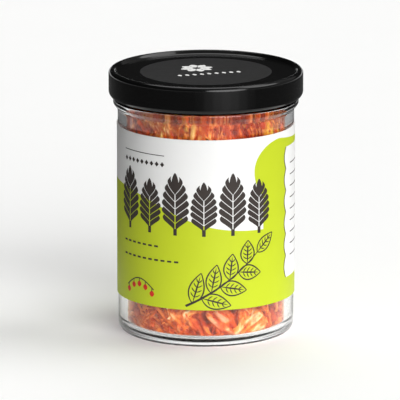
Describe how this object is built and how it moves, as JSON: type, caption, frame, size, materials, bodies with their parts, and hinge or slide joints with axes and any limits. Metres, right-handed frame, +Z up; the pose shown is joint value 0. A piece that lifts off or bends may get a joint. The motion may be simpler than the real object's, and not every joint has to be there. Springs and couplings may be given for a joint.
{
  "type": "jar of kimchi",
  "caption": "Straight glass jar with a black twist lid and a wrap label, packed with red-orange fermented cabbage strips.",
  "frame": {"origin": "middle of the foot's resting plane, on the jar's axis", "axes": "+Z up along the jar's axis, -Y towards the label's front, +X to the right seen from the front"},
  "size_m": [0.086, 0.086, 0.1175],
  "materials": {
    "clear_glass": "clear pressed glass",
    "black_lacquered_steel": "satin black lacquer",
    "printed_paper": "smooth printed paper, white above and lime green below",
    "kimchi_cabbage": "wet red-orange cabbage and chilli paste"
  },
  "bodies": {
    "root": {"glass_jar": "clear_glass", "lid": "black_lacquered_steel", "label": "printed_paper", "kimchi": "kimchi_cabbage"}
  },
  "joints": []
}
